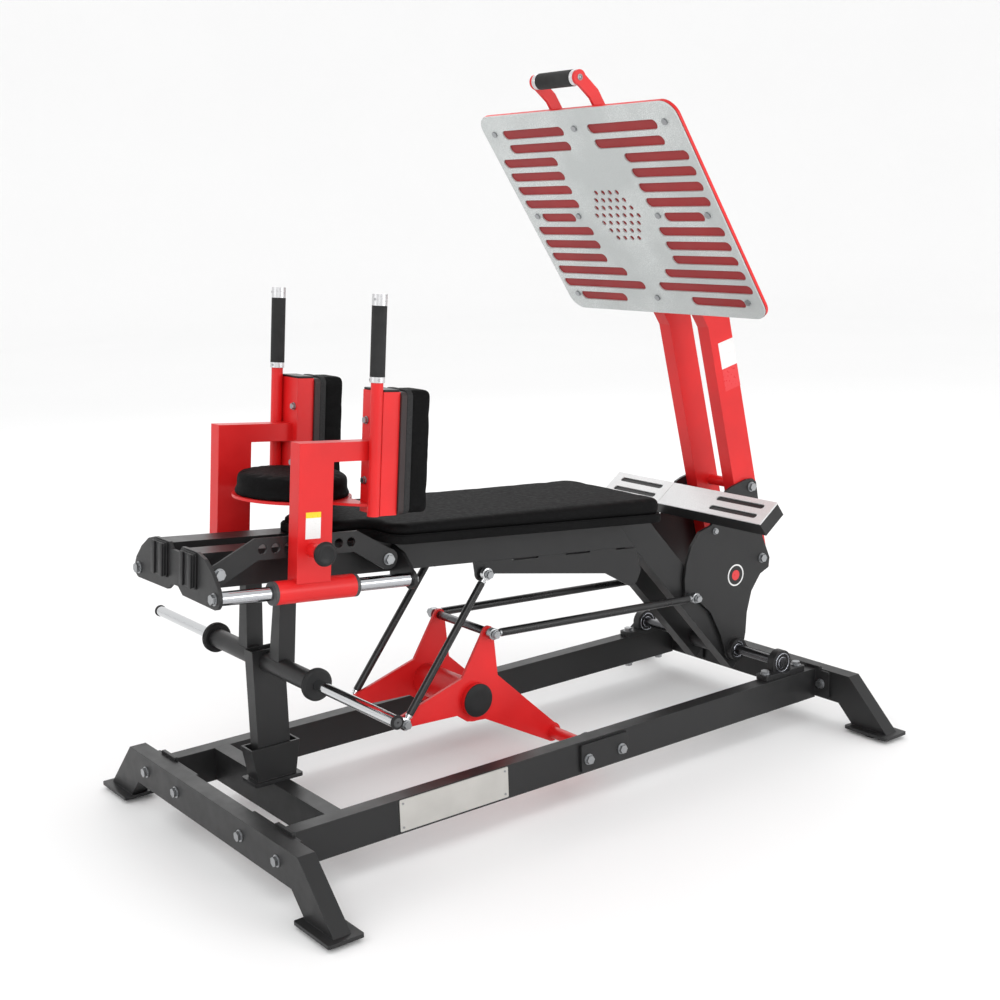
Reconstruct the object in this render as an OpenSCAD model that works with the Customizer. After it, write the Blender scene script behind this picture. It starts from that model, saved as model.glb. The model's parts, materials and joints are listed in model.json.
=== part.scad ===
// Leg press machine with a moving bench. The user lies on the bench, head end at -X.
// Pressing the foot plate swings the rocker about the rear shaft. Two long rods then turn
// the three-armed crank, and two short rods lift the weighted bench about the same shaft.
// X runs along the machine to the foot end, Z is up, and Y = 0 is the middle plane.
// The x values below are measured from the outer face of the head-end crossbar, and every
// node is moved by -mid_x, so that the model's origin is under the middle of the machine.

/* [Base frame] */
// Height of the rectangular frame tube
tube_h = 80; // [70:1:90]
// Width of the rectangular frame tube
tube_w = 40; // [36:1:44]
// Wall of the frame tubes
wall = 3; // [2:0.5:4]
// Height of the crossbars' top face above the floor
base_top = 144; // [135:1:155]
// Outer face of the foot-end crossbar, from the outer face of the head-end one
base_length = 1694; // [1650:1:1750]
// Half of the length of a crossbar's flat top
bar_flat = 402; // [380:1:420]
// Distance of a side rail's middle from the middle plane
rail_y = 275; // [265:1:285]
// Height of the rubber feet
foot_h = 9.6; // [6:0.2:14]

/* [Rear shaft and crank pivot] */
// Rear shaft along the machine
shaft_x = 1540; // [1520:1:1560]
// Rear shaft above the floor
shaft_z = 178; // [170:1:190]
// Rear shaft diameter
shaft_d = 25; // [20:1:30]
// Crank pivot along the machine
crank_x = 893; // [880:1:905]
// Crank pivot above the floor
crank_z = 100; // [98:1:106]
// Crank pivot tube diameter
crank_tube_d = 30; // [26:1:32]

/* [Bench lever] */
// Slope of the bench lever at rest, head end up
tilt = 5.3; // [4.5:0.1:6]
// Head-end plate of the lever, along the machine
lever_x = -33; // [-45:1:-20]
// Height of the guide rods at the head-end plate
lever_z = 634; // [620:1:650]
// Guide rod diameter
rod_d = 30; // [25:1:32]
// Distance of a guide rod from the middle plane
rod_y = 182; // [178:1:186]
// Height of the lever beams' top above the guide rods
beam_top = 80; // [76:1:84]
// Length of the bench pad with its neck
pad_length = 950; // [900:10:1000]
// Half width of the bench pad
pad_half = 193; // [170:1:210]

/* [Carriage] */
// Pitch of the index holes
index_pitch = 30.57; // [28:0.01:34]
// Height of the handles above the guide rods
handle_top = 621; // [560:1:680]
// Height of the shoulder pads
shoulder_h = 264; // [220:1:280]
// Diameter of the round head pad
head_pad_d = 250; // [220:1:270]

/* [Foot plate] */
// Width of the foot plate
plate_w = 724; // [680:2:760]
// Height of the foot plate along its slope
plate_h = 604; // [580:2:630]
// Lean of the foot plate from upright, towards the head end
plate_lean = 32.5; // [28:0.5:36]
// Spacing of the slot rows
slot_pitch = 42; // [40:0.5:44]
// Height of one slot
slot_h = 27; // [20:1:30]

/* [Weights] */
// Diameter of the plate horns
horn_d = 25; // [25:1:30]
// Half of the weight bar's length
horn_reach = 539; // [480:1:560]

/* [Hidden] */
$fn = 48;

black = "#2c2d2e";
red = "#d7232a";
steel = "#b9bcbf";
rubber = "#161616";

gap = 0.05;                       // radial running clearance of a shaft in its bearing
plate_t = 8;                      // thickness of the lever's, crank's and rocker's plates
base_low = base_top - tube_h;
rear_x = base_length - tube_w;    // inner face of the foot-end crossbar
flange_t = 8;
foot_plate_t = 8;
foot_out = 544;                   // outer edge of a foot's steel plate
foot_in = 407;
foot_margin = 21;                 // steel plate proud of the crossbar, each side

cap_proud = 12;                   // beam caps in front of the head-end plate
beam_low = 4;
beam_in = 35;
beam_out = 103;
head_reach = lever_x - cap_proud * cos(tilt) + (beam_low + 2) * sin(tilt);
mid_x = (head_reach + base_length + foot_margin) / 2;

rocker_in = 92;                   // inner face of a rocker plate
arm_in = 52;                      // inner face of a rocker arm
leg_in = 50;
leg_out = 90;
leg_slope = 48.5;                 // lever legs, down towards the foot end
leg_past = 48;                    // legs run on past the shaft

crank_in = 97;                    // inner face of a crank plate
long_rod_y = 122;
short_rod_y = 115;
long_eye_half = 9;
short_eye_half = 8;
eye_play = 1.5;                   // between an eye and its washers
pin_d = 10;
loose_bore = 13;                  // bore at the pivot where each linkage loop is left open
crank_hub = [658, 241];
crank_top = [704.5, 396.5];
crank_front = [450, 232];
rocker_pin = [1369, 357];
lever_pin = [697, 543];

bar_x = 163;
bar_z = 422;
ring_y = 229;
ring_half = 7;
horn_in = ring_y + ring_half + 2;  // a horn's full diameter starts just outside its ring
bar_r = horn_d / 2 - 0.2;         // bar inside the sleeve and the rings
plug_t = 7;
strap_in = 148;
strap_t = 6;
pin_u = 213.8;                    // index pin along the lever
pin_w = 88.5;                     // index pin above the guide rods
post_u = 364.5;
post_mid = 180;
post_low = 153;

// --- placing -------------------------------------------------------------------------

module placed() translate([-mid_x, 0, 0]) children();

// Frame of the tilted bench lever: u along it to the foot end, w up from the guide rods.
module on_lever() translate([lever_x, 0, lever_z]) rotate([0, tilt, 0]) children();

// Frame of the foot plate: front face at x = 0, z up its slope, origin at its middle.
plate_x = 1224.3;
plate_z = 1351.6;
module on_foot_plate() translate([plate_x, 0, plate_z]) rotate([0, -plate_lean, 0]) children();

module both_sides() {
  children();
  mirror([0, 1, 0]) children();
}

// A flat outline in x and z, as a slab between two y values.
module slab(y0, y1) translate([0, y1, 0]) rotate([90, 0, 0]) linear_extrude(y1 - y0) children();

// A flat outline in y and z, as a slab between two x values.
module wall_x(x0, x1) translate([x0, 0, 0]) rotate([90, 0, 90]) linear_extrude(x1 - x0) children();

// A rod along y between two y values.
module rod_y(x, z, r, y0, y1) translate([x, y1, z]) rotate([90, 0, 0]) cylinder(r = r, h = y1 - y0);

// A rod along x between two x values.
module rod_x(y, z, r, x0, x1) translate([x0, y, z]) rotate([0, 90, 0]) cylinder(r = r, h = x1 - x0);

module box(low, high) translate(low) cube(high - low);

module rounded(w, h, r) {
  square([w - 2 * r, h], center = true);
  square([w, h - 2 * r], center = true);
  for (sx = [-1, 1], sy = [-1, 1]) translate([sx * (w / 2 - r), sy * (h / 2 - r)]) circle(r);
}

// A hexagon bolt head on its washer, standing on z = 0.
module bolt(d) {
  cylinder(d = 2.2 * d, h = 2);
  translate([0, 0, 2]) cylinder(d = 1.85 * d, h = 0.65 * d, $fn = 6);
}

// A rod eye's pin at a pivot: from a plate's face at y0, through the eye, to its bolt head.
module eye_pin(at, y0, eye_y, eye_half) {
  reach = eye_half + eye_play;
  rod_y(at[0], at[1], pin_d / 2, y0, eye_y + reach);
  if (eye_y - reach > y0 + 1) rod_y(at[0], at[1], 9, y0, eye_y - reach);
  translate([at[0], eye_y + reach, at[1]]) rotate([-90, 0, 0]) bolt(pin_d);
}

// --- base frame ----------------------------------------------------------------------

// Outline of a crossbar with its sloping legs. Side d is cut in from every face.
function crossbar_outline(d) =
  let (low = foot_h + foot_plate_t - (d > 0 ? 1 : 0),
       k = d * (sqrt(2) - 1),
       top = bar_flat - k,
       low_bend = bar_flat - tube_h * (sqrt(2) - 1) + k,
       zt = base_top - d,
       zl = base_low + d)
  [[-top - zt + low, low], [-top, zt], [top, zt], [top + zt - low, low],
   [low_bend + zl - low, low], [low_bend, zl], [-low_bend, zl], [-low_bend - zl + low, low]];

module crossbar() {
  difference() {
    wall_x(0, tube_w) polygon(crossbar_outline(0));
    wall_x(wall, tube_w - wall) polygon(crossbar_outline(wall));
  }
  both_sides()
    translate([tube_w / 2, (foot_in + foot_out) / 2, foot_h])
      linear_extrude(foot_plate_t) rounded(tube_w + 2 * foot_margin, foot_out - foot_in, 5);
}

module front_crossbar() color(black) crossbar();
module rear_crossbar() color(black) translate([rear_x, 0, 0]) crossbar();

// End flange of a rail: a wide plate for two bolts and a tab that stands proud on top.
bolt_near = 155;
bolt_far = 315;
bolt_z = 106;
module rail_flange() {
  translate([(130 + 343) / 2, (base_low + base_top) / 2 + 1]) rounded(343 - 130, tube_h - 6, 8);
  translate([rail_y, base_top]) rounded(72, 16, 4);
}

module side_rails() color(black) both_sides() {
  difference() {
    box([tube_w + flange_t, rail_y - tube_w / 2, base_low],
        [rear_x - flange_t, rail_y + tube_w / 2, base_top]);
    box([0, rail_y - tube_w / 2 + wall, base_low + wall],
        [base_length, rail_y + tube_w / 2 - wall, base_top - wall]);
  }
  wall_x(tube_w, tube_w + flange_t) rail_flange();
  wall_x(rear_x - flange_t, rear_x) rail_flange();
}

cross_x = 150;
module cross_tube() color(black) difference() {
  box([cross_x, -rail_y + tube_w / 2, base_low], [cross_x + tube_w, rail_y - tube_w / 2, base_top]);
  box([cross_x + wall, -rail_y, base_low + wall], [cross_x + tube_w - wall, rail_y, base_top - wall]);
}

module rubber_feet() color(rubber)
  for (x = [tube_w / 2, base_length - tube_w / 2], side = [-1, 1])
    translate([x, side * (foot_in + foot_out) / 2, 0]) {
      cylinder(d = 52, h = 4);
      translate([0, 0, 4]) cylinder(d = 46, h = foot_h - 4);
    }

crank_bolts_x = [crank_x - 52, crank_x + 52];
pillow_bolts_x = [shaft_x - 59, shaft_x + 59];
pillow_bolt_y = rail_y - 7;
rail_out = rail_y + tube_w / 2;
module frame_bolts() color(steel) {
  for (y = [-bolt_far, -bolt_near, bolt_near, bolt_far]) {
    translate([0, y, bolt_z]) rotate([0, -90, 0]) bolt(12);
    translate([tube_w + flange_t, y, bolt_z]) rotate([0, 90, 0]) bolt(12);
    translate([base_length, y, bolt_z]) rotate([0, 90, 0]) bolt(12);
    translate([rear_x - flange_t, y, bolt_z]) rotate([0, -90, 0]) bolt(12);
  }
  both_sides() {
    for (x = crank_bolts_x) translate([x, rail_out + plate_t, crank_z]) rotate([-90, 0, 0]) bolt(12);
    for (x = pillow_bolts_x) {
      translate([x, pillow_bolt_y, base_top + 14]) bolt(12);
      translate([x, pillow_bolt_y, base_low]) rotate([180, 0, 0]) bolt(12);
    }
  }
}

// Open cradle that the weight column rests in.
cradle_x = 166;
cradle_low = base_top + 8;
cradle_rim = 228;
module column_cradle() color(black) {
  translate([cradle_x, 0, base_top]) linear_extrude(8) rounded(120, 70, 6);
  difference() {
    slab(-25, 25) polygon([[cradle_x - 47, cradle_low], [cradle_x + 47, cradle_low],
                           [cradle_x + 61, cradle_rim], [cradle_x - 61, cradle_rim]]);
    slab(-20, 20) polygon([[cradle_x - 43, cradle_low + 6], [cradle_x + 43, cradle_low + 6],
                           [cradle_x + 56.5, cradle_rim + 1], [cradle_x - 56.5, cradle_rim + 1]]);
  }
}

pillow_y = 262;                   // middle of a pillow block
pillow_half = 14;
insert_r = 26;                     // 52 mm outer ring of the pillow bearings
module pillow_blocks() color(black) both_sides() difference() {
  union() {
    translate([shaft_x, pillow_bolt_y, base_top]) linear_extrude(14) rounded(150, 40, 7);
    rod_y(shaft_x, shaft_z, 33, pillow_y - 11, pillow_y + 11);
    box([shaft_x - 33, pillow_y - 11, base_top + 1], [shaft_x + 33, pillow_y + 11, shaft_z]);
  }
  rod_y(shaft_x, shaft_z, insert_r, pillow_y - 30, pillow_y + 30);
}

module bearing_inserts() color(steel) both_sides() difference() {
  rod_y(shaft_x, shaft_z, insert_r, pillow_y - pillow_half, pillow_y + pillow_half);
  rod_y(shaft_x, shaft_z, shaft_d / 2 + gap, pillow_y - 30, pillow_y + 30);
}

module crank_bearings() color(black) both_sides() difference() {
  union() {
    rod_y(crank_x, crank_z, 32, 226, rail_y - tube_w / 2);
    rod_y(crank_x, crank_z, 35.5, 244, rail_y - tube_w / 2);
  }
  rod_y(crank_x, crank_z, crank_tube_d / 2 + gap, 220, 260);
}

module crank_mount_plates() color(black) both_sides()
  slab(rail_out, rail_out + plate_t) translate([crank_x, crank_z + 4]) rounded(146, 68, 3);

name_x0 = 311;
name_x1 = 606;
name_z0 = base_low + 5;
name_z1 = base_top - 2;
module nameplate() color(steel) slab(-rail_out - 2, -rail_out)
  translate([(name_x0 + name_x1) / 2, (name_z0 + name_z1) / 2])
    rounded(name_x1 - name_x0, name_z1 - name_z0, 3);

module nameplate_rivets() color(steel)
  for (x = [name_x0 + 9, name_x1 - 9], z = [name_z0 + 9, name_z1 - 9])
    rod_y(x, z, 2.6, -rail_out - 3.4, -rail_out - 2);

// --- bench lever ---------------------------------------------------------------------

// Slab that lies along the lever's legs: s down the leg from the shaft, n across it.
module on_legs() translate([shaft_x, 0, shaft_z]) rotate([0, leg_slope, 0]) children();

far = 2000;
module lever_beams() color(black) difference() {
  on_lever() both_sides() difference() {
    box([plate_t, beam_in, beam_low], [1400, beam_out, beam_top]);
    box([0, beam_in + wall, beam_low + wall], [1500, beam_out - wall, beam_top - wall]);
  }
  on_legs() box([-far, -150, -tube_h / 2], [far, 150, far]);
}

module end_caps() color(rubber) {
  on_lever() both_sides() {
    translate([0, (beam_in + beam_out) / 2, (beam_low + beam_top) / 2]) {
      wall_x(-cap_proud, -4) rounded(beam_out - beam_in - 6, beam_top - beam_low - 4, 7);
      wall_x(-4, 0) rounded(beam_out - beam_in, beam_top - beam_low, 7);
    }
  }
  both_sides() difference() {
    rod_y(bar_x, bar_z, horn_d / 2 - 0.3, horn_reach - plug_t, horn_reach);
    rod_y(bar_x, bar_z, 8, horn_reach - 2.5, horn_reach + 1);
  }
}

// Right half of the head-end plate: beams behind it, a boss for the guide rod outside.
module end_plate_half() {
  polygon([[0, -5], [14, -5], [36, -20], [184, -22], [203, 8], [197, 22], [170, 51], [135, 74],
           [100, 83], [32, 83], [18, 69], [0, 69]]);
  translate([rod_y, 0]) circle(22);
}

module head_end_plate() color(black) on_lever() both_sides() wall_x(0, plate_t) end_plate_half();

rod_end_u = 472;
module rod_end_plates() color(black) on_lever() both_sides()
  wall_x(rod_end_u, rod_end_u + plate_t) {
    polygon([[beam_out, -6], [184, -22], [203, 8], [190, 20], [150, 54], [beam_out, 66]]);
    translate([rod_y, 0]) circle(22);
  }

module guide_rods() color(steel) on_lever() both_sides() rod_x(rod_y, 0, rod_d / 2, plate_t, rod_end_u);

// Bent strap with the row of holes that the pull pin locks into, on the near side only.
strap_u0 = 24;
strap_u1 = 434;
strap_w = 43.5;
hole_r = 10.5;
first_hole = pin_u - 3 * index_pitch;
module index_strap() color(black) on_lever() difference() {
  union() {
    slab(-strap_in - strap_t, -strap_in) {
      polygon([[8, 61], [103, 112], [351, 112], [451, 60], [444, 24], [425, 21], [345, 66],
               [112, 66], [36, 23], [14, 25]]);
      translate([strap_u0, strap_w]) circle(23.5);
      translate([strap_u1, strap_w]) circle(23.5);
    }
    for (u = [strap_u0, strap_u1]) rod_y(u, strap_w, 11, -strap_in, -beam_out);
  }
  box([-1, -200, -20], [plate_t, -100, 200]);
  for (i = [0:7])
    rod_y(first_hole + i * index_pitch, pin_w, hole_r, -strap_in - strap_t - 1, -strap_in + 1);
}

module lever_bolts() color(steel) {
  on_lever() {
    for (u = [strap_u0, strap_u1]) translate([u, -strap_in - strap_t, strap_w]) rotate([90, 0, 0]) bolt(12);
    both_sides() {
      translate([0, rod_y, 0]) rotate([0, -90, 0]) bolt(12);
      translate([rod_end_u + plate_t, rod_y, 0]) rotate([0, 90, 0]) bolt(12);
    }
  }
  both_sides() {
    eye_pin(lever_pin, beam_out, short_rod_y, short_eye_half);
  }
}

// Long tapered plates under the beams, with the short rods' pivot lugs.
lever_pin_u = (lever_pin[0] - lever_x) * cos(tilt) - (lever_pin[1] - lever_z) * sin(tilt);
lever_pin_w = (lever_pin[0] - lever_x) * sin(tilt) + (lever_pin[1] - lever_z) * cos(tilt);
module lever_side_plates() color(black) difference() {
  on_lever() both_sides() difference() {
    slab(beam_out - plate_t, beam_out) {
      translate([lever_pin_u, lever_pin_w]) circle(21);
      polygon([[708, beam_low], [lever_pin_u - 21, lever_pin_w], [lever_pin_u, lever_pin_w - 21],
               [770, -28], [1121, -58], [1205, -98], [1228, -90], [1240, -60], [1215, beam_low]]);
    }
    for (u = [820, 985, 1150]) slab(beam_out - 9, beam_out + 1)
      translate([u + 40, beam_low]) rounded(80, 8, 3);
  }
  on_legs() box([-far, -150, -tube_h / 2], [far, 150, far]);
}

module lever_legs() color(black) difference() {
  on_legs() both_sides() difference() {
    box([-620, leg_in, -tube_h / 2], [leg_past, leg_out, tube_h / 2]);
    box([-700, leg_in + wall, -tube_h / 2 + wall], [leg_past - wall, leg_out - wall, tube_h / 2 - wall]);
  }
  on_lever() box([-far, -150, beam_top], [far, 150, far]);
  rod_y(shaft_x, shaft_z, 25, -150, 150);
}

module lever_hub() color(black) difference() {
  rod_y(shaft_x, shaft_z, 25, -leg_out, leg_out);
  rod_y(shaft_x, shaft_z, shaft_d / 2, -leg_out - 1, leg_out + 1);
}

module rear_shaft() color(steel) rod_y(shaft_x, shaft_z, shaft_d / 2, -280, 280);

// Column under the lever: two tapered posts under the beams, the weight bar's sleeve
// through them, and one tube with a tapered foot that stands in the cradle.
column_half = 18;
column_low = 200;
column_top = 450;
post_foot_w = -186;
sleeve_r = 22;
module weight_column() color(black) difference() {
  union() {
    difference() {
      box([cradle_x - tube_h / 2, -column_half, column_low],
          [cradle_x + tube_h / 2, column_half, column_top]);
      box([cradle_x - tube_h / 2 + wall, -column_half + wall, column_low + wall],
          [cradle_x + tube_h / 2 - wall, column_half - wall, column_top + 1]);
    }
    slab(-14, 14) polygon([[cradle_x - 32, 159], [cradle_x + 32, 159], [cradle_x + 38, column_low],
                           [cradle_x - 38, column_low]]);
    on_lever() both_sides() wall_x(200, 240)
      polygon([[92, post_foot_w], [92, beam_low], [66, beam_low], [50, post_foot_w]]);
  }
  rod_y(bar_x, bar_z, sleeve_r, -200, 200);
}

module bar_sleeve() color(black) difference() {
  rod_y(bar_x, bar_z, sleeve_r, -ring_y + ring_half, ring_y - ring_half);
  rod_y(bar_x, bar_z, bar_r, -ring_y, ring_y);
}

module weight_bar() color(steel) {
  rod_y(bar_x, bar_z, bar_r, -horn_in, horn_in);
  both_sides() rod_y(bar_x, bar_z, horn_d / 2, horn_in, horn_reach - plug_t);
}

module stop_rings() color(rubber) both_sides() translate([bar_x, ring_y, bar_z]) rotate([90, 0, 0])
  rotate_extrude() translate([0, -ring_half])
    polygon([[bar_r, 0], [30, 0], [35, 3], [35, 5.5], [32, 7], [35, 8.5], [35, 11], [30, 14], [bar_r, 14]]);

// Outline of the bench: a neck under the head pad, then the full width.
pad_u1 = 1236;
pad_u0 = pad_u1 - pad_length;
shoulder_u = pad_u0 + 135;
neck_half = 95;
module bench_outline(d) {
  translate([(shoulder_u + pad_u1) / 2, 0])
    rounded(pad_u1 - shoulder_u - 2 * d, 2 * pad_half - 2 * d, 32);
  translate([(pad_u0 + shoulder_u + 60) / 2, 0])
    rounded(shoulder_u + 60 - pad_u0 - 2 * d, 2 * neck_half - 2 * d, 24);
}

board_t = 10;
pad_top_head = 120;               // pad's top above the guide rods, at the head end
pad_top_foot = 139;
module bench_board() color(rubber) on_lever()
  translate([0, 0, beam_top]) linear_extrude(board_t) bench_outline(0);

module bench_pad() color(rubber) on_lever() difference() {
  translate([0, 0, beam_top + board_t + 0.3]) linear_extrude(60) bench_outline(2);
  translate([pad_u0, -300, pad_top_head])
    rotate([0, -atan((pad_top_foot - pad_top_head) / pad_length), 0])
      translate([-100, 0, 0]) cube([1300, 600, 80]);
}

// --- carriage ------------------------------------------------------------------------

sleeve_u0 = 136;
sleeve_u1 = 324;
sleeve_out = 25;
bush_t = 8;
module slide_sleeves() color(red) on_lever() both_sides() difference() {
  rod_x(rod_y, 0, sleeve_out, sleeve_u0, sleeve_u1);
  rod_x(rod_y, 0, sleeve_out - 3.5, sleeve_u0 - 1, sleeve_u1 + 1);
}

module bushing() difference() {
  union() {
    rod_x(rod_y, 0, sleeve_out, -bush_t, 0);
    rod_x(rod_y, 0, sleeve_out - 3.5, 0, 40);
  }
  rod_x(rod_y, 0, rod_d / 2 + gap, -bush_t - 1, 41);
}

module sleeve_bushings() color("#6c6e70") on_lever() both_sides() {
  translate([sleeve_u0, 0, 0]) bushing();
  translate([sleeve_u1, 0, 0]) mirror([1, 0, 0]) bushing();
}

// Upright with a level arm to the shoulder pad post.
upright_in = 162;
upright_out = 200;
upright_u0 = 178;
upright_u1 = 260;
arm_low = 271;
arm_top = 312;
function upright_outline(d) =
  [[upright_u0 + d, -d], [upright_u0 + d, arm_top - d], [post_u + (d > 0 ? 1 : 0), arm_top - d],
   [post_u + (d > 0 ? 1 : 0), arm_low + d], [upright_u1 - d, arm_low + d], [upright_u1 - d, -d]];

module carriage_uprights() color(red) on_lever() difference() {
  both_sides() difference() {
    slab(upright_in, upright_out) polygon(upright_outline(0));
    slab(upright_in + wall, upright_out - wall) polygon(upright_outline(wall));
    rod_x(rod_y, 0, sleeve_out, 100, 400);
  }
  rod_y(pin_u, pin_w, hole_r, -210, -150);
}

module pad_posts() color(red) on_lever() both_sides() difference() {
  box([post_u, post_mid - 40, post_low], [post_u + 42, post_mid + 40, post_low + shoulder_h]);
  box([post_u + wall, post_mid - 40 + wall, post_low + wall],
      [post_u + 42 - wall, post_mid + 40 - wall, post_low + shoulder_h + 1]);
}

handle_r = 13.2;
handle_u = post_u - handle_r - 0.2;
handle_y = 214.2;
grip_low = 449;
collar_low = 437;
grip_high = 597;
grip_r = 16.2;                     // foam grip and turned collars
module handle_rod(r, w0, w1) translate([handle_u, handle_y, w0]) cylinder(r = r, h = w1 - w0);

module handle_tubes() color(red) on_lever() both_sides() difference() {
  handle_rod(handle_r, post_low, grip_high);
  handle_rod(handle_r - wall, post_low - 1, grip_high + 1);
}

module handle_grips() color(rubber) on_lever() both_sides() difference() {
  handle_rod(grip_r, grip_low, grip_high);
  handle_rod(handle_r, grip_low - 1, grip_high + 1);
}

module handle_collars() color(steel) on_lever() both_sides() {
  difference() {
    handle_rod(grip_r, collar_low, grip_low);
    handle_rod(handle_r, collar_low - 1, grip_low + 1);
  }
  handle_rod(grip_r, grip_high, handle_top);
}

board_u = post_u + 42;
module shoulder_boards() color("#2a2222") on_lever() both_sides()
  wall_x(board_u, board_u + 14) translate([post_mid, post_low + shoulder_h / 2]) rounded(92, shoulder_h, 12);

module shoulder_pads() color(rubber) on_lever() both_sides()
  wall_x(board_u + 14.3, board_u + 80)
    translate([post_mid, post_low + shoulder_h / 2 + 2]) rounded(92, shoulder_h + 4, 16);

head_u = 276;
head_low = post_low + 16;          // underside of the head pad's plate
module head_pad_plate() color(red) on_lever() translate([0, 0, head_low]) {
  translate([head_u, 0, 0]) cylinder(d = head_pad_d + 12, h = 6, $fn = 96);
  linear_extrude(6)
    polygon([[head_u + 4, 120], [320, 160], [post_u, 196], [post_u, -196], [320, -160], [head_u + 4, -120]]);
}

module head_pad() color(rubber) on_lever() translate([head_u, 0, head_low + 6.3]) {
  cylinder(d = head_pad_d, h = 12, $fn = 96);
  translate([0, 0, 12]) cylinder(d = head_pad_d - 8, h = 39, $fn = 96);
}

pin_r = 10;
barrel = 28;
knob_y = -244;                     // inner face of the knob, plunger drawn out
module pin_housing() color(red) on_lever() difference() {
  rod_y(pin_u, pin_w, 15, -upright_out - barrel, -upright_out);
  rod_y(pin_u, pin_w, pin_r + 0.3, -upright_out - barrel - 1, -upright_out + 1);
}

module carriage_bolts() color(steel) on_lever() both_sides()
  for (w = [222, 352]) translate([post_u, 156, w]) rotate([0, -90, 0]) bolt(8);

// The pull pin is drawn out at rest, so that its nose is clear of the strap.
module pull_pin() color(steel) on_lever()
  rod_y(pin_u, pin_w, pin_r, knob_y, -strap_in - strap_t - 2);

module pin_knob() color(rubber) on_lever() translate([pin_u, knob_y, pin_w]) rotate([90, 0, 0])
  rotate_extrude() polygon([[0, 0], [22, 0], [26, 3], [26.5, 8], [24.5, 12], [19, 14.5], [0, 15.5]]);

// --- rocker --------------------------------------------------------------------------

module rocker_outline() {
  polygon([[1369, 341], [1355, 365], [1354, 405], [1361, 445], [1379, 490], [1408, 524], [1452, 535],
           [1512.5, 589], [1498, 605], [1510, 621], [1532, 629], [1585, 641], [1610, 640], [1622, 630],
           [1630, 585], [1648, 475], [1677, 410], [1673, 383], [1640, 370], [1606, 328], [1588, 270],
           [1583, 215], [1571, 165], [1512, 160], [1486, 228], [1450, 296], [1415, 328], [1385, 343]]);
  translate([shaft_x, shaft_z]) circle(34);
  translate(rocker_pin) circle(17);
}

bearing_r = 23.5;
module rocker_plates() color(black) both_sides() difference() {
  union() {
    slab(rocker_in, rocker_in + plate_t) rocker_outline();
    rod_y(shaft_x, shaft_z, 30, rocker_in + plate_t, 116);
  }
  rod_y(shaft_x, shaft_z, bearing_r, rocker_in - 1, 117);
}

module rocker_bearings() color(steel) both_sides() difference() {
  rod_y(shaft_x, shaft_z, bearing_r, rocker_in + 2, 114);
  rod_y(shaft_x, shaft_z, shaft_d / 2 + gap, rocker_in, 117);
}

// Bent arm: straight up from the rocker plates, then parallel to the foot plate behind it.
kink = [1450, 1059];
arm_lean = 12.6;
arm_drop = 710;
arm_rise = 560;
low_dir = [sin(arm_lean), -cos(arm_lean)];
low_out = [cos(arm_lean), sin(arm_lean)];
up_dir = [-sin(plate_lean), cos(plate_lean)];
up_out = [cos(plate_lean), sin(plate_lean)];
// Point on the mitre of the kink, at distance d behind the arm's front.
function mitre(d) = kink + (low_out + up_out) * d / (1 + low_out * up_out);
function arm_outline(d0, d1, past) =
  [mitre(d0), mitre(d0) + up_dir * (arm_rise + past - d0 * tan((plate_lean - arm_lean) / 2)),
   mitre(d1) + up_dir * (arm_rise + past - d1 * tan((plate_lean - arm_lean) / 2)), mitre(d1),
   kink + low_out * d1 + low_dir * (arm_drop + past), kink + low_out * d0 + low_dir * (arm_drop + past)];

ear_bolt = [1603, 619];
low_bolt = [1646, 414];
module rocker_arms() color(red) {
  both_sides() difference() {
    slab(arm_in, rocker_in) polygon(arm_outline(0, tube_h, 0));
    slab(arm_in + wall, rocker_in - wall) polygon(arm_outline(wall, tube_h - wall, 1));
  }
  rod_y(ear_bolt[0], ear_bolt[1], 14, -arm_in, arm_in);
}

// Front face of the arms, behind the foot plate's front.
arm_front = (kink - [plate_x, plate_z]) * up_out;
sheet_t = 4;
tray_back = 12;
tray_rib_z = 200;
tray_rib_h = 40;
module tray_outline(d) rounded(plate_w + 4 - 2 * d, plate_h - 2 * d, 40 - d);
module plate_backing() color(red) on_foot_plate() {
  difference() {
    wall_x(sheet_t, tray_back) tray_outline(0);
    wall_x(sheet_t + 3, tray_back + 1) tray_outline(3);
  }
  for (z = [-tray_rib_z, tray_rib_z])
    box([sheet_t + 3, -330, z - tray_rib_h / 2], [arm_front, 330, z + tray_rib_h / 2]);
}

// Slot rows from the top: inner and outer end of the slots on each side.
slot_ends = [[46, 288], [46, 288], [127, 344], [127, 344], [127, 344], [127, 344], [167, 303],
             [124, 346], [124, 346], [124, 346], [72, 348], [27, 350], [122, 306]];
module slot(y0, y1, h) {
  translate([(y0 + y1) / 2, 0]) square([y1 - y0 - h, h], center = true);
  translate([y0 + h / 2, 0]) circle(h / 2);
  translate([y1 - h / 2, 0]) circle(h / 2);
}

bolt_grid = [[0, 252], [318, 252], [149, 0], [318, 0], [0, -252], [318, -252]];
module foot_plate() color("#c4c8ca") on_foot_plate() wall_x(0, sheet_t) difference() {
  rounded(plate_w, plate_h, 40);
  for (row = [0:12], side = [0, 1])
    mirror([side, 0]) translate([0, (6 - row) * slot_pitch - 6])
      slot(slot_ends[row][0], slot_ends[row][1], slot_h);
  // Plain round holes in a hexagon in the middle field
  for (i = [-3:3], j = [-3:3]) if (abs(i + j) <= 3)
    translate([(i + j / 2) * 26, j * 26 * sqrt(3) / 2]) circle(7);
}

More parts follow.
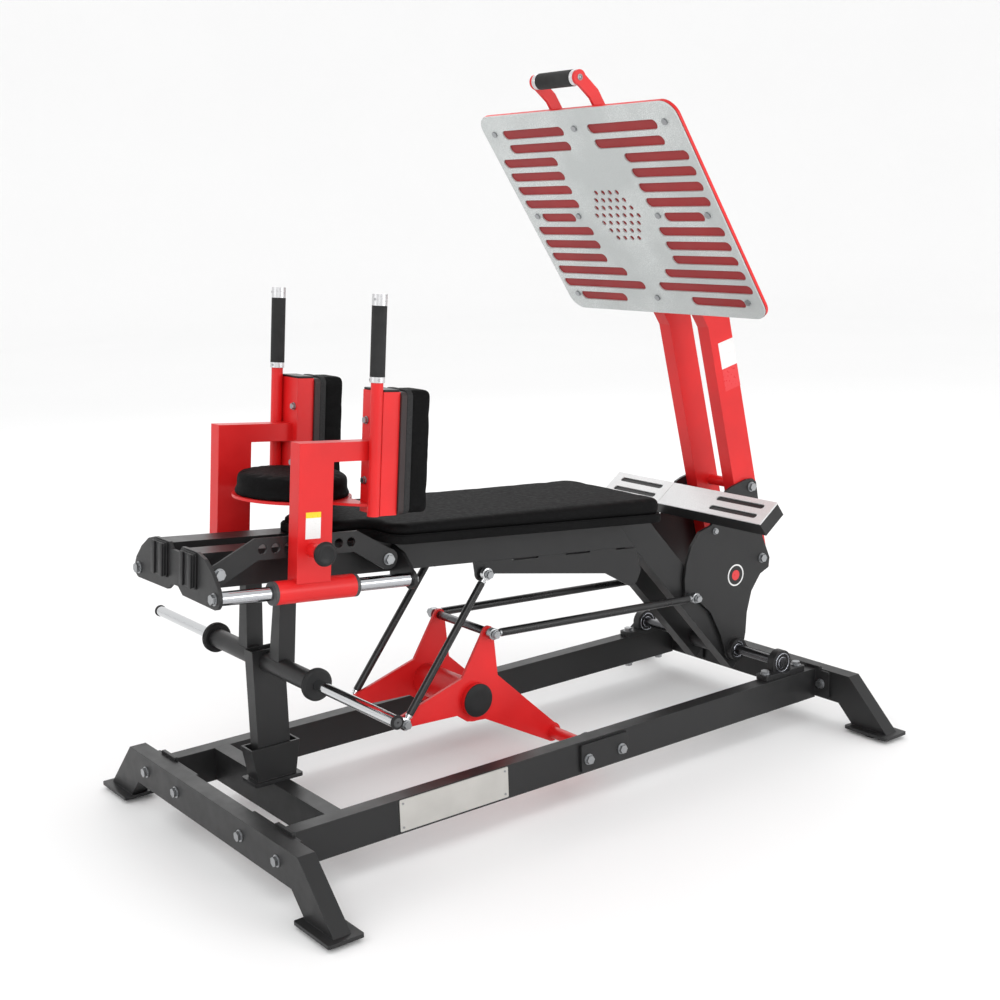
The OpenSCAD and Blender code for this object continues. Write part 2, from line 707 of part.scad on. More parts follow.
module rocker_bolts() color(steel) {
  on_foot_plate() for (p = bolt_grid, side = [-1, 1]) if (p[0] > 0 || side > 0)
    translate([0, side * p[0], p[1]]) rotate([0, -90, 0]) cylinder(d = 16, h = 4.5);
  both_sides() {
    for (p = [ear_bolt, low_bolt])
      translate([p[0], rocker_in + plate_t, p[1]]) rotate([-90, 0, 0]) bolt(12);
    translate([1466, rocker_in + plate_t, 518]) rotate([-90, 0, 0]) bolt(8);
    eye_pin(rocker_pin, rocker_in + plate_t, long_rod_y, long_eye_half);
  }
}

// Two flat bent brackets and a round grip over the top of the foot plate. The brackets
// stand on the tray's upper rib and lie against its back.
grip_at = [18, 374];
bracket_bend = [35.2, 319];
bracket_in = 76;
bracket_w = 31;
bracket_low = tray_rib_z + tray_rib_h / 2;
module grip_brackets() color(red) on_foot_plate() both_sides() slab(bracket_in, bracket_in + 8) {
  translate([bracket_bend[0] - bracket_w / 2, bracket_low])
    square([bracket_w, bracket_bend[1] - bracket_low]);
  translate([tray_back, bracket_low]) square([bracket_bend[0] - tray_back, 70]);
  translate(bracket_bend) circle(bracket_w / 2);
  translate(grip_at) circle(18);
  translate(bracket_bend) rotate(atan2(grip_at[1] - bracket_bend[1], grip_at[0] - bracket_bend[0]))
    translate([0, -bracket_w / 2]) square([norm(grip_at - bracket_bend), bracket_w]);
}

module top_grip() on_foot_plate() {
  color(rubber) rod_y(grip_at[0], grip_at[1], 19.5, -bracket_in + 12, bracket_in - 12);
  color(steel) both_sides() {
    rod_y(grip_at[0], grip_at[1], 18.5, bracket_in - 12, bracket_in);
    translate([grip_at[0], bracket_in + 8, grip_at[1]]) rotate([-90, 0, 0]) bolt(6);
  }
}

// Low bar for the feet, with bright tread plates on its upper face.
calf_at = [1467, 581.5];
calf_slope = 35.6;
calf_half = 300;
module on_calf_bar() translate([calf_at[0], 0, calf_at[1]]) rotate([0, -calf_slope, 0]) children();

module calf_bar() color(black) on_calf_bar() difference() {
  box([-39, -calf_half, -21], [39, calf_half, 19]);
  box([-36, -calf_half + 3, -18], [36, calf_half - 3, 16]);
}

fold_y = 77;
module calf_plates() color(steel) on_calf_bar() {
  both_sides() translate([0, 0, 19]) linear_extrude(3) difference() {
    translate([0, (fold_y + calf_half + 2) / 2]) square([80, calf_half + 2 - fold_y], center = true);
    for (x = [-17, 17]) translate([x, 0]) rotate(90) slot(fold_y + 28, calf_half - 28, 15);
  }
  box([-40, -fold_y, 19], [40, fold_y, 21.4]);
}

// --- crank and rods ------------------------------------------------------------------

hub_r = 40;
module crank_outline() {
  polygon([[690, 402], [624, 299], [446, 246], [448, 218], [606, 211], [634, 190], [662, 186],
           [687, 184], [882, 79], [916, 108], [728, 285], [719, 392]]);
  translate(crank_hub) circle(55);
  translate(crank_top) circle(15);
  translate(crank_front) circle(14);
  translate([crank_x, crank_z]) circle(24);
}

module crank_plates() color(red) both_sides() difference() {
  slab(crank_in, crank_in + plate_t) crank_outline();
  rod_y(crank_hub[0], crank_hub[1], hub_r, crank_in - 1, crank_in + plate_t + 1);
  rod_y(crank_x, crank_z, crank_tube_d / 2, crank_in - 1, crank_in + plate_t + 1);
}

module crank_tubes() {
  color(red) difference() {
    rod_y(crank_hub[0], crank_hub[1], hub_r, -118, 118);
    rod_y(crank_hub[0], crank_hub[1], hub_r - 4, -119, 119);
  }
  color(red) difference() {
    rod_y(crank_x, crank_z, crank_tube_d / 2, -252, 252);
    rod_y(crank_x, crank_z, crank_tube_d / 2 - wall, -253, 253);
  }
  color(black) rod_y(crank_top[0], crank_top[1], 9, -crank_in, crank_in);
  color(rubber) both_sides() {
    rod_y(crank_hub[0], crank_hub[1], hub_r + 0.5, 118, 122);
    rod_y(crank_hub[0], crank_hub[1], hub_r - 4, 112, 118);
  }
}

module crank_bolts() color(steel) both_sides() {
  eye_pin(crank_top, crank_in + plate_t, long_rod_y, long_eye_half);
  eye_pin(crank_front, crank_in + plate_t, short_rod_y, short_eye_half);
}

// A rod from pivot a to pivot b with an eye at each end. The eye at b has the loose bore.
module link(a, b, y, r, eye_r, eye_half) {
  length = norm(b - a);
  difference() {
    union() {
      for (p = [a, b]) rod_y(p[0], p[1], eye_r, y - eye_half, y + eye_half);
      translate([a[0], y, a[1]]) rotate([0, 90 - atan2(b[1] - a[1], b[0] - a[0]), 0])
        translate([0, 0, eye_r - 1.5]) cylinder(r = r, h = length - 2 * eye_r + 3);
    }
    rod_y(a[0], a[1], pin_d / 2 + gap, y - eye_half - 5, y + eye_half + 5);
    rod_y(b[0], b[1], loose_bore / 2, y - eye_half - 5, y + eye_half + 5);
  }
}

module long_rods() color(black) both_sides() link(crank_top, rocker_pin, long_rod_y, 10, 14, long_eye_half);
module short_rods() color(black) both_sides()
  link(crank_front, lever_pin, short_rod_y, 9, 15, short_eye_half);

// --- nodes ---------------------------------------------------------------------------

placed() front_crossbar();
placed() rear_crossbar();
placed() side_rails();
placed() cross_tube();
placed() rubber_feet();
placed() frame_bolts();
placed() column_cradle();
placed() pillow_blocks();
placed() bearing_inserts();
placed() crank_bearings();
placed() crank_mount_plates();
placed() nameplate();
placed() nameplate_rivets();
placed() lever_beams();
placed() end_caps();
placed() head_end_plate();
placed() rod_end_plates();
placed() guide_rods();
placed() index_strap();
placed() lever_bolts();
placed() lever_side_plates();
placed() lever_legs();
placed() lever_hub();
placed() rear_shaft();
placed() weight_column();
placed() bar_sleeve();
placed() weight_bar();
placed() stop_rings();
placed() bench_board();
placed() bench_pad();
placed() slide_sleeves();
placed() sleeve_bushings();
placed() carriage_uprights();
placed() pad_posts();
placed() handle_tubes();
placed() handle_grips();
placed() handle_collars();
placed() shoulder_boards();
placed() shoulder_pads();
placed() head_pad_plate();
placed() head_pad();
placed() pin_housing();
placed() carriage_bolts();
placed() pull_pin();
placed() pin_knob();
placed() rocker_plates();
placed() rocker_bearings();
placed() rocker_arms();
placed() plate_backing();
placed() foot_plate();
placed() rocker_bolts();
placed() grip_brackets();
placed() top_grip();
placed() calf_bar();
placed() calf_plates();
placed() crank_plates();
placed() crank_tubes();
placed() crank_bolts();
placed() long_rods();
placed() short_rods();
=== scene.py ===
"""Looks of a leg press machine with a moving bench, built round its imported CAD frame.

Everything is in metres in the CAD frame: +X to the foot end, +Z up, near side at -Y.
Places come from the CAD nodes' boxes and from the bench lever's tilted frame.
"""
import json
import math

import bmesh
import bpy
import numpy as np
from mathutils import Matrix, Vector


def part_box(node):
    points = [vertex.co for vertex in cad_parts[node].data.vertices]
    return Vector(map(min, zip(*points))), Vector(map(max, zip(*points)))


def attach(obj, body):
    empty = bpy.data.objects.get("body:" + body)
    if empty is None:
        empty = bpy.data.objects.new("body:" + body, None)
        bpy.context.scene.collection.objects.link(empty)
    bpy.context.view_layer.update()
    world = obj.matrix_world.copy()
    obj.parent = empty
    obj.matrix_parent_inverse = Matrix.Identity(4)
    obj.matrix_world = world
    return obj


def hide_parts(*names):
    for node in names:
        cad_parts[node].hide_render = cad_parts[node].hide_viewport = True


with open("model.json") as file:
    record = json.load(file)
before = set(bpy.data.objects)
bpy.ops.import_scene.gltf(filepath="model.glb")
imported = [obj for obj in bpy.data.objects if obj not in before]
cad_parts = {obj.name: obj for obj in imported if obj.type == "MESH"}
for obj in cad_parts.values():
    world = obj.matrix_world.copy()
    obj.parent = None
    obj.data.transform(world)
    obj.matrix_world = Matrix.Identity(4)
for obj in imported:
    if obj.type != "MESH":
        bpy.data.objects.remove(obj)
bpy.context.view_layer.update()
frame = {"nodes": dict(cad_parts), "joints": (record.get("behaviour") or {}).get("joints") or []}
nodes = frame["nodes"]
scene = bpy.context.scene
MM = 0.001


# --- frames of the tilted parts ------------------------------------------------------

def joint(name):
    return next(j for j in frame["joints"] if j["name"] == name)


def lever_frame():
    """Matrix from the bench lever's own frame to the CAD frame: u along it, w up from the rods."""
    along = Vector(joint("carriage_slide")["axis"]).normalized()
    up = Vector((-along.z, 0, along.x))
    low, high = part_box("guide_rods")
    rod_r = 15 * MM
    rod_start = 8 * MM
    x = low.x - rod_start * along.x + rod_r * up.x
    z = high.z - rod_start * along.z - rod_r * up.z
    return Matrix(((along.x, 0, up.x, x), (0, 1, 0, 0), (along.z, 0, up.z, z), (0, 0, 0, 1)))


LEVER = lever_frame()
TO_LEVER = LEVER.inverted()


def lever_box(node):
    """Lowest and highest corner of a CAD node, measured in the lever's own frame."""
    points = np.array([TO_LEVER @ v.co for v in nodes[node].data.vertices])
    return Vector(points.min(0)), Vector(points.max(0))


def inner_y(node):
    """Distance from the middle plane to the nearest face of a mirrored CAD node."""
    return min(abs(v.co.y) for v in nodes[node].data.vertices)


def side_name(side):
    return "near" if side < 0 else "far"


def in_mm(*points):
    """(radius, height) points given in millimetres, in metres."""
    return [(r * MM, h * MM) for r, h in points]


# --- materials -----------------------------------------------------------------------

class Shader:
    """A Principled material with short calls for the nodes that the materials here share."""

    def __init__(self, name, **sockets):
        self.material = bpy.data.materials.new(name)
        self.material.use_nodes = True
        self.tree = self.material.node_tree
        self.surface = self.tree.nodes["Principled BSDF"]
        self.place = self.add("ShaderNodeTexCoord").outputs["Object"]
        for key, value in sockets.items():
            self.surface.inputs[key.replace("_", " ")].default_value = value

    def add(self, kind, **settings):
        node = self.tree.nodes.new(kind)
        for key, value in settings.items():
            setattr(node, key, value)
        return node

    def join(self, source, target):
        self.tree.links.new(source, target)

    def stretched(self, scale):
        mapping = self.add("ShaderNodeMapping")
        mapping.inputs["Scale"].default_value = scale
        self.join(self.place, mapping.inputs["Vector"])
        return mapping.outputs["Vector"]

    def noise(self, scale, detail=3.0, rough=0.5, place=None):
        node = self.add("ShaderNodeTexNoise")
        node.inputs["Scale"].default_value = scale
        node.inputs["Detail"].default_value = detail
        node.inputs["Roughness"].default_value = rough
        self.join(place or self.place, node.inputs["Vector"])
        return node.outputs["Fac"]

    def cells(self, scale):
        node = self.add("ShaderNodeTexVoronoi", feature="F1")
        node.inputs["Scale"].default_value = scale
        self.join(self.place, node.inputs["Vector"])
        return node.outputs["Distance"]

    def spread(self, source, from_low, from_high, to_low, to_high):
        node = self.add("ShaderNodeMapRange")
        for key, value in zip(("From Min", "From Max", "To Min", "To Max"),
                              (from_low, from_high, to_low, to_high)):
            node.inputs[key].default_value = value
        self.join(source, node.inputs["Value"])
        return node.outputs["Result"]

    def product(self, one, two):
        node = self.add("ShaderNodeMath", operation="MULTIPLY")
        self.join(one, node.inputs[0])
        self.join(two, node.inputs[1])
        return node.outputs[0]

    def mixed(self, amount, one, two):
        """Colour between one and two, each a colour or another node's output."""
        node = self.add("ShaderNodeMix", data_type="RGBA")
        self.join(amount, node.inputs["Factor"])
        for socket, value in ((node.inputs[6], one), (node.inputs[7], two)):
            if isinstance(value, (tuple, list)):
                socket.default_value = (*value, 1)
            else:
                self.join(value, socket)
        return node.outputs[2]

    def rounded_edges(self, radius):
        """Normal that shades sharp edges as if they were rounded."""
        node = self.add("ShaderNodeBevel", samples=4)
        node.inputs["Radius"].default_value = radius
        return node.outputs["Normal"]

    def edge_mask(self, rounded, low=0.02, high=0.30):
        """Near 1 on sharp edges and 0 elsewhere."""
        flat = self.add("ShaderNodeNewGeometry").outputs["Normal"]
        dot = self.add("ShaderNodeVectorMath", operation="DOT_PRODUCT")
        self.join(rounded, dot.inputs[0])
        self.join(flat, dot.inputs[1])
        return self.spread(dot.outputs["Value"], 1 - low, 1 - high, 0, 1)

    def bump(self, height, distance, strength=1.0, normal=None):
        node = self.add("ShaderNodeBump")
        node.inputs["Strength"].default_value = strength
        node.inputs["Distance"].default_value = distance
        self.join(height, node.inputs["Height"])
        if normal is not None:
            self.join(normal, node.inputs["Normal"])
        return node.outputs["Normal"]

    def colour(self, source):
        self.join(source, self.surface.inputs["Base Color"])

    def roughness(self, source):
        self.join(source, self.surface.inputs["Roughness"])

    def normal(self, source):
        self.join(source, self.surface.inputs["Normal"])


def powder_coat(name, base, edge_wear_and_highlight, rough, coat):
    """Sprayed powder paint: fine orange peel, faint mottling, paler edges: part rubbed wear, part painted
    highlight.
    """
    s = Shader(name, Coat_Weight=coat, Coat_Roughness=0.22, Specular_IOR_Level=0.32)
    mottle = s.spread(s.noise(6, 4), 0.3, 0.7, 0.0, 1.0)
    paint = s.mixed(mottle, [c * 0.90 for c in base], [c * 1.10 for c in base])
    edges = s.rounded_edges(1.8 * MM)
    # Paler edge colour: partly rubbed wear, partly a painted highlight along the edges.
    rubbed_and_highlit_edges = s.product(s.edge_mask(edges), s.spread(s.noise(38, 5, 0.7), 0.42, 0.66, 0.12, 0.75))
    s.colour(s.mixed(rubbed_and_highlit_edges, paint, edge_wear_and_highlight))
    s.roughness(s.spread(s.noise(24, 4), 0.25, 0.75, rough - 0.05, rough + 0.07))
    peel = s.bump(s.noise(950, 2), 0.05 * MM, 0.35, edges)
    s.normal(s.bump(s.noise(70, 2), 0.12 * MM, 0.25, peel))
    return s.material


def bare_metal(name, base, rough, brush=(1, 1, 1), swing=0.08, scale=180, edge=0.8):
    """Bare or plated metal with a grain that is drawn out where brush has small numbers."""
    s = Shader(name, Metallic=1.0)
    grain = s.noise(scale, 4, 0.6, s.stretched(brush))
    cloud = s.spread(s.noise(14, 3), 0.3, 0.7, 0.0, 1.0)
    s.colour(s.mixed(cloud, [c * 0.90 for c in base], base))
    s.roughness(s.spread(grain, 0.3, 0.7, max(0.02, rough - swing), rough + swing))
    s.normal(s.bump(grain, 0.02 * MM, 0.25, s.rounded_edges(edge * MM)))
    return s.material


def chromed(name, base):
    """Polished chrome with faint wiping marks."""
    s = Shader(name, Metallic=1.0)
    wipes = s.noise(60, 5, 0.65, s.stretched((1, 0.15, 1)))
    s.colour(s.mixed(wipes, [c * 0.93 for c in base], base))
    s.roughness(s.spread(wipes, 0.35, 0.75, 0.04, 0.13))
    s.normal(s.bump(s.noise(420, 2), 0.01 * MM, 0.2, s.rounded_edges(0.8 * MM)))
    return s.material


def galvanised(name, base, spangle, rough, metallic):
    """Sheet metal with a speckled, spangled surface."""
    s = Shader(name, Metallic=metallic)
    flakes = s.spread(s.cells(230), 0.05, 0.75, 0.0, 1.0)
    patches = s.spread(s.noise(5, 3), 0.40, 0.62, 0.15, 1.0)
    grit = s.spread(s.noise(520, 3, 0.7), 0.44, 0.62, 0.0, 1.0)
    s.colour(s.mixed(s.product(grit, patches), base, spangle))
    s.roughness(s.spread(flakes, 0, 1, rough - 0.10, rough + 0.10))
    s.normal(s.bump(grit, 0.05 * MM, 0.35, s.rounded_edges(1.2 * MM)))
    return s.material


def moulded(name, base, rough, grain=700, depth=0.06, sheen=0.0):
    """Moulded plastic or rubber with a fine spark-eroded texture."""
    s = Shader(name, Specular_IOR_Level=0.28, Sheen_Weight=sheen, Sheen_Roughness=0.4)
    dust = s.spread(s.noise(11, 4), 0.45, 0.8, 0.0, 1.0)
    s.colour(s.mixed(dust, base, [min(1, c * 1.35 + 0.004) for c in base]))
    s.roughness(s.spread(s.noise(45, 3), 0.3, 0.7, rough - 0.06, rough + 0.06))
    s.normal(s.bump(s.noise(grain, 2), depth * MM, 0.5, s.rounded_edges(1.0 * MM)))
    return s.material


def upholstery(name, base, lift):
    """Grained upholstery vinyl: small pebbles with creases between them, painted shade in the creases, and
    soft wear.
    """
    s = Shader(name, Specular_IOR_Level=0.05, Sheen_Weight=0.0, Sheen_Roughness=0.45)
    pebbles = s.spread(s.cells(620), 0.0, 0.55, 1.0, 0.0)
    folds = s.noise(95, 4, 0.55)
    wear = s.spread(s.noise(7, 4), 0.42, 0.72, 0.0, 1.0)
    tone = s.mixed(wear, base, lift)
    # The creases between the pebbles are painted darker as shade.
    s.colour(s.mixed(s.spread(pebbles, 0.1, 0.6, 0.0, 1.0), [c * 0.6 for c in base], tone))
    s.roughness(s.spread(folds, 0.3, 0.7, 0.60, 0.74))
    grained = s.bump(pebbles, 0.10 * MM, 0.55)
    s.normal(s.bump(folds, 0.35 * MM, 0.30, grained))
    return s.material


def plywood_edge(name, base, dark):
    """Stained board: layers and a drawn-out grain."""
    s = Shader(name, Specular_IOR_Level=0.35)
    grain = s.noise(60, 5, 0.6, s.stretched((6, 0.6, 6)))
    s.colour(s.mixed(s.spread(grain, 0.35, 0.65, 0, 1), dark, base))
    s.roughness(s.spread(grain, 0.3, 0.7, 0.45, 0.65))
    s.normal(s.bump(grain, 0.08 * MM, 0.4, s.rounded_edges(1.0 * MM)))
    return s.material


def sticker_film(name, base):
    """Printed vinyl film, plain colour with faint ink mottling."""
    s = Shader(name, Specular_IOR_Level=0.5)
    s.colour(s.mixed(s.noise(300, 2), [c * 0.92 for c in base], base))
    s.roughness(s.spread(s.noise(120, 2), 0.3, 0.7, 0.25, 0.38))
    return s.material


BLACK_PAINT = powder_coat("black_powder_coat", (0.015, 0.015, 0.0155), (0.075, 0.075, 0.078), 0.42, 0.05)
RED_PAINT = powder_coat("red_powder_coat", (0.66, 0.012, 0.013), (0.86, 0.09, 0.085), 0.38, 0.08)
# Darker red that paints the foot plate's shade onto the tray's flat face.
PAINTED_SHADE_TRAY_RED = powder_coat("red_powder_coat_painted_shade", (0.31, 0.026, 0.028), (0.34, 0.04, 0.042), 0.55, 0.03)
ZINC = bare_metal("zinc_plate", (0.36, 0.37, 0.38), 0.34)
BEARING_STEEL = bare_metal("bearing_steel", (0.50, 0.51, 0.56), 0.20, (1, 0.2, 1), 0.06)
BRUSHED = bare_metal("brushed_collar", (0.68, 0.68, 0.69), 0.30, (1, 1, 8), 0.06, 120)
CHROME = chromed("chrome", (0.62, 0.63, 0.64))
ROD_CHROME = chromed("ground_rod_chrome", (0.50, 0.51, 0.53))
SPANGLE = galvanised("spangled_sheet", (0.50, 0.525, 0.52), (0.80, 0.83, 0.82), 0.48, 0.22)
TREAD = galvanised("tread_sheet", (0.70, 0.71, 0.71), (0.84, 0.85, 0.85), 0.50, 0.45)
NAME_METAL = bare_metal("name_plate_metal", (0.62, 0.61, 0.58), 0.36, (0.15, 1, 3), 0.08, 150, 0.6)
RUBBER = moulded("black_rubber", (0.010, 0.010, 0.0105), 0.55)
FOAM = moulded("grip_foam", (0.018, 0.018, 0.0185), 0.75, 480, 0.16, 0.05)
PLASTIC = moulded("black_plastic", (0.009, 0.009, 0.0095), 0.42)
GREY_PLASTIC = moulded("grey_nylon", (0.060, 0.061, 0.063), 0.45)
VINYL = upholstery("black_vinyl", (0.0090, 0.0090, 0.0093), (0.013, 0.013, 0.0133))
PIPING = upholstery("grey_vinyl_band", (0.050, 0.050, 0.051), (0.066, 0.066, 0.067))
BOARD = plywood_edge("stained_board", (0.040, 0.026, 0.026), (0.022, 0.014, 0.014))
BLACK_BOARD = plywood_edge("black_board", (0.022, 0.022, 0.022), (0.012, 0.012, 0.012))
WHITE_FILM = sticker_film("white_film", (0.80, 0.80, 0.79))
YELLOW_FILM = sticker_film("yellow_film", (0.85, 0.62, 0.01))
RED_FILM = sticker_film("red_film", (0.72, 0.03, 0.035))
ROD_DARK = bare_metal("dark_oxide_steel", (0.10, 0.10, 0.105), 0.30, (1, 0.1, 1), 0.07)
SEMI_BLACK = powder_coat("semi_gloss_black", (0.012, 0.012, 0.0125), (0.07, 0.07, 0.072), 0.28, 0.20)

NODE_MATERIALS = {
    BLACK_PAINT: ["front_crossbar", "rear_crossbar", "side_rails", "cross_tube", "column_cradle",
                  "pillow_blocks", "crank_bearings", "crank_mount_plates", "lever_beams",
                  "head_end_plate", "rod_end_plates", "index_strap", "lever_side_plates",
                  "lever_legs", "lever_hub", "weight_column", "bar_sleeve", "rocker_plates",
                  "calf_bar", "long_rods"],
    RED_PAINT: ["slide_sleeves", "carriage_uprights", "pad_posts", "handle_tubes",
                "head_pad_plate", "pin_housing", "rocker_arms", "grip_brackets", "crank_plates"],
    PAINTED_SHADE_TRAY_RED: ["plate_backing"],
    ZINC: ["frame_bolts", "lever_bolts", "carriage_bolts", "rocker_bolts", "crank_bolts",
           "nameplate_rivets", "pull_pin"],
    BEARING_STEEL: ["bearing_inserts", "rocker_bearings"],
    BRUSHED: ["handle_collars"],
    CHROME: ["weight_bar"],
    ROD_DARK: ["rear_shaft"],
    ROD_CHROME: ["guide_rods"],
    SPANGLE: ["foot_plate"],
    TREAD: ["calf_plates"],
    NAME_METAL: ["nameplate"],
    RUBBER: ["rubber_feet", "stop_rings"],
    FOAM: ["handle_grips"],
    PLASTIC: ["pin_knob"],
    GREY_PLASTIC: ["sleeve_bushings"],
    BOARD: ["shoulder_boards"],
    BLACK_BOARD: ["bench_board"],
}
for material, names in NODE_MATERIALS.items():
    for name in names:
        slots = nodes[name].data.materials
        slots.clear()
        slots.append(material)


def shade_tray():
    """The tray's flat face gets a darker red as painted shade from the foot plate; its rim keeps the
    ordinary red paint.
    """
    data = nodes["plate_backing"].data
    faces = sorted(data.polygons, key=lambda face: -face.area)
    ahead = faces[0].normal.copy()
    data.materials.append(RED_PAINT)
    for face in data.polygons:
        face.material_index = 0 if abs(face.normal.dot(ahead)) > 0.95 else 1


shade_tray()


# --- mesh helpers --------------------------------------------------------------------

def piece_from(name, mesh, material, body, replaced=(), smooth=True):
    """A new object from a bmesh or a mesh, with its material, body and replaced CAD nodes."""
    if isinstance(mesh, bmesh.types.BMesh):
        data = bpy.data.meshes.new(name)
        bmesh.ops.recalc_face_normals(mesh, faces=mesh.faces)
        mesh.to_mesh(data)
        mesh.free()
    else:
        data = mesh
    obj = bpy.data.objects.new(name, data)
    scene.collection.objects.link(obj)
    materials = material if isinstance(material, (list, tuple)) else [material]
    data.materials.clear()
    for one in materials:
        data.materials.append(one)
    if smooth:
        data.shade_smooth()
        data.set_sharp_from_angle(angle=math.radians(38))
    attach(obj, body)
    if replaced:
        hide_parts(*replaced)
    return obj


def lathe(profile, steps=64, ring=False):
    """A solid of revolution about z from (radius, height) points, closed on the axis or as a ring."""
    profile = list(profile) + ([profile[0]] if ring else [])
    bm = bmesh.new()
    rings = []
    for r, h in profile:
        if r < 1e-7:
            rings.append([bm.verts.new((0, 0, h))])
        else:
            rings.append([bm.verts.new((r * math.cos(t), r * math.sin(t), h))
                          for t in (2 * math.pi * i / steps for i in range(steps))])
    for low, high in zip(rings, rings[1:]):
        for i in range(steps):
            corners = {low[i % len(low)]: 0, low[(i + 1) % len(low)]: 0,
                       high[(i + 1) % len(high)]: 0, high[i % len(high)]: 0}
            if len(corners) > 2:
                bm.faces.new(list(corners))
    bmesh.ops.remove_doubles(bm, verts=bm.verts, dist=1e-7)
    return bm


def moved(bm, matrix):
    bmesh.ops.transform(bm, matrix=matrix, verts=bm.verts)
    return bm


def joined(parts):
    """One bmesh from several."""
    whole = bmesh.new()
    for part in parts:
        data = bpy.data.meshes.new("part")
        part.to_mesh(data)
        part.free()
        whole.from_mesh(data)
        bpy.data.meshes.remove(data)
    return whole


def along_y(x, y, z, outward=1):
    """Matrix that stands a lathed solid on a point with its axis along y, away from the middle."""
    turn = Matrix.Rotation(math.radians(-90 * outward), 4, "X")
    return Matrix.Translation((x, y, z)) @ turn


def rounded_outline(length, width, radius, steps=10):
    """Points round a rectangle with rounded corners, centred on the origin."""
    points = []
    for k, (sx, sy) in enumerate(((1, 1), (-1, 1), (-1, -1), (1, -1))):
        for i in range(steps + 1):
            t = math.radians(90 * k + 90 * i / steps)
            points.append((sx * (length / 2 - radius) + radius * math.cos(t),
                           sy * (width / 2 - radius) + radius * math.sin(t)))
    return points


def slab(outline, low, high, edge=0.0, steps=3):
    """An extruded outline with rounded top and bottom edges of radius edge."""
    bm = bmesh.new()
    verts = [bm.verts.new((x, y, low)) for x, y in outline]
    bottom = bm.faces.new(verts)
    side = bmesh.ops.extrude_face_region(bm, geom=[bottom])
    top = [e for e in side["geom"] if isinstance(e, bmesh.types.BMVert)]
    bmesh.ops.translate(bm, verts=top, vec=(0, 0, high - low))
    bmesh.ops.recalc_face_normals(bm, faces=bm.faces)
    if edge > 0:
        rims = [e for e in bm.edges if abs(e.verts[0].co.z - e.verts[1].co.z) < 1e-6]
        bmesh.ops.bevel(bm, geom=rims, offset=edge, segments=steps, profile=0.5, affect="EDGES")
    return bm


def closed_cord(points, radius):
    """A round cord swept along a closed ring of points, as a mesh."""
    curve = bpy.data.curves.new("cord", "CURVE")
    curve.dimensions = "3D"
    curve.bevel_depth = radius
    curve.bevel_resolution = 4
    spline = curve.splines.new("POLY")
    spline.points.add(len(points) - 1)
    for point, place in zip(spline.points, points):
        point.co = (*place, 1)
    spline.use_cyclic_u = True
    holder = bpy.data.objects.new("cord", curve)
    scene.collection.objects.link(holder)
    bpy.context.view_layer.update()
    data = bpy.data.meshes.new_from_object(holder.evaluated_get(bpy.context.evaluated_depsgraph_get()))
    bpy.data.objects.remove(holder)
    bpy.data.curves.remove(curve)
    return data


def flat_sticker(corners, lift, normal, body, name, material):
    """A thin square-cornered film laid on a flat face, corners given in order round it."""
    bm = bmesh.new()
    face = bm.faces.new([bm.verts.new(Vector(c) + Vector(normal) * lift * 0.2) for c in corners])
    grown = bmesh.ops.extrude_face_region(bm, geom=[face])
    top = [e for e in grown["geom"] if isinstance(e, bmesh.types.BMVert)]
    bmesh.ops.translate(bm, verts=top, vec=Vector(normal) * lift)
    return piece_from(name, bm, material, body, smooth=False)


# --- pads ----------------------------------------------------------------------------

def simulate_pad(obj, pressure, cap):
    """Swells a closed mesh like foam under vinyl: its underside is held, the rest is cloth.

    No point ends up further than cap from where it started.
    """
    frames = 20
    held_depth = 4 * MM
    data = obj.data
    rest = np.array([v.co for v in data.vertices])
    hold = obj.vertex_groups.new(name="hold")
    lowest = rest[:, 2].min()
    for i, co in enumerate(rest):
        if co[2] < lowest + held_depth:
            hold.add([i], 1.0, "REPLACE")
    cloth = obj.modifiers.new("cloth", "CLOTH")
    cloth.settings.quality = 6
    cloth.settings.mass = 0.3
    cloth.settings.tension_stiffness = 22
    cloth.settings.compression_stiffness = 22
    cloth.settings.shear_stiffness = 8
    cloth.settings.bending_stiffness = 1.2
    cloth.settings.use_pressure = True
    cloth.settings.uniform_pressure_force = pressure
    cloth.settings.shrink_min = -0.02
    cloth.settings.vertex_group_mass = "hold"
    cloth.settings.effector_weights.gravity = 0
    cloth.collision_settings.use_collision = False
    for step in range(1, frames + 1):
        scene.frame_set(step)
    swollen = obj.evaluated_get(bpy.context.evaluated_depsgraph_get()).data
    now = np.array([v.co for v in swollen.vertices])
    obj.modifiers.remove(cloth)
    scene.frame_set(1)
    move = now - rest
    size = np.linalg.norm(move, axis=1, keepdims=True)
    move *= np.minimum(1.0, cap / np.maximum(size, 1e-9))
    for v, co in zip(data.vertices, rest + move):
        v.co = co
    obj.vertex_groups.clear()


def remeshed(bm, voxel):
    """A mesh object with an even skin, from a closed bmesh."""
    data = bpy.data.meshes.new("remesh")
    bm.to_mesh(data)
    bm.free()
    holder = bpy.data.objects.new("remesh", data)
    scene.collection.objects.link(holder)
    skin = holder.modifiers.new("skin", "REMESH")
    skin.mode = "VOXEL"
    skin.voxel_size = voxel
    bpy.context.view_layer.update()
    even = bpy.data.meshes.new_from_object(holder.evaluated_get(bpy.context.evaluated_depsgraph_get()))
    bpy.data.objects.remove(holder)
    return even


def make_pad(form, voxel, pressure, cap):
    """The mesh of one pad in its own flat frame: an even skin, swelled by cloth and smoothed.

    form is its closed starting shape, a little small.
    """
    obj = bpy.data.objects.new("pad_form", remeshed(form, voxel))
    scene.collection.objects.link(obj)
    simulate_pad(obj, pressure, cap)
    smooth = obj.modifiers.new("smooth", "SMOOTH")
    smooth.factor = 0.5
    smooth.iterations = 3
    fine = obj.modifiers.new("fine", "SUBSURF")
    fine.levels = 1
    fine.render_levels = 1
    bpy.context.view_layer.update()
    final = bpy.data.meshes.new_from_object(obj.evaluated_get(bpy.context.evaluated_depsgraph_get()))
    bpy.data.objects.remove(obj)
    return final


